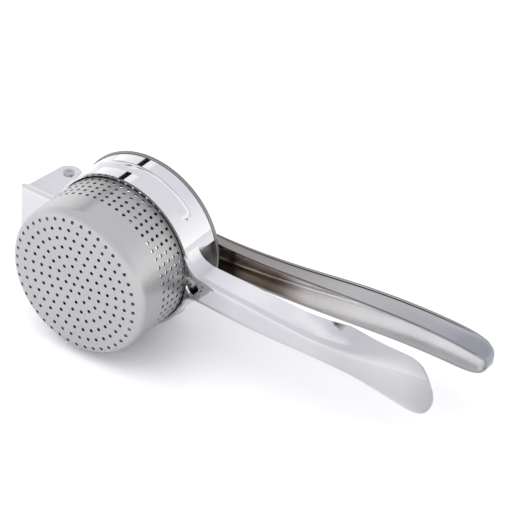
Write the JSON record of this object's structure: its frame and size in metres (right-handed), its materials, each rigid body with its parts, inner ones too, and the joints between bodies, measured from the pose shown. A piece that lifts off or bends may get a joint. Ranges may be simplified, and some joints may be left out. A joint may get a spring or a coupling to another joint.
{
  "type": "potato ricer",
  "caption": "All-steel lever ricer: a perforated drop-in basket in a ring frame with a folded handle, and a hinged upper lever that drives a pivoting presser disc.",
  "frame": {"origin": "centre of the perforated bottom face of the basket", "axes": "-Y out of the basket's bottom along its axis; +X towards the tips of the two handles; +Z along the hinge rivet, upwards as the ricer lies on its side"},
  "size_m": [0.267, 0.0944, 0.0932],
  "materials": {
    "polished_frame": "mirror-polished stainless steel",
    "polished_lever": "mirror-polished stainless steel",
    "satin_basket": "satin stainless steel",
    "plunger_steel": "satin stainless steel",
    "rivet_steel": "bright stainless steel"
  },
  "bodies": {
    "frame": {"lower_frame": "polished_frame", "hinge_rivet": "rivet_steel", "hinge_spacers": "rivet_steel"},
    "lever": {"upper_lever": "polished_lever", "hinge_sleeve": "rivet_steel", "plunger_rivet": "rivet_steel", "plunger_spacers": "rivet_steel"},
    "plunger": {"plunger_bracket": "plunger_steel", "presser_disc": "plunger_steel", "disc_rivets": "rivet_steel", "plunger_sleeve": "rivet_steel"},
    "basket": {"basket": "satin_basket"}
  },
  "joints": [
    {"name": "lever_hinge", "type": "hinge", "parent": "frame", "child": "lever", "pos_m": [-0.053, 0.0624, 0], "axis": [0, 0, 1], "range_deg": [0, 90]},
    {"name": "plunger_pivot", "type": "hinge", "parent": "lever", "child": "plunger", "pos_m": [-0.007, 0.0706, 0], "axis": [0, 0, 1], "range_deg": [-48.6, 0]},
    {"name": "basket_turn", "type": "hinge", "parent": "frame", "child": "basket", "pos_m": [0, 0.05, 0], "axis": [0, 1, 0], "continuous": true}
  ],
  "couplings": [
    {"joint": "plunger_pivot", "follows": "lever_hinge", "ratio": -0.54}
  ]
}
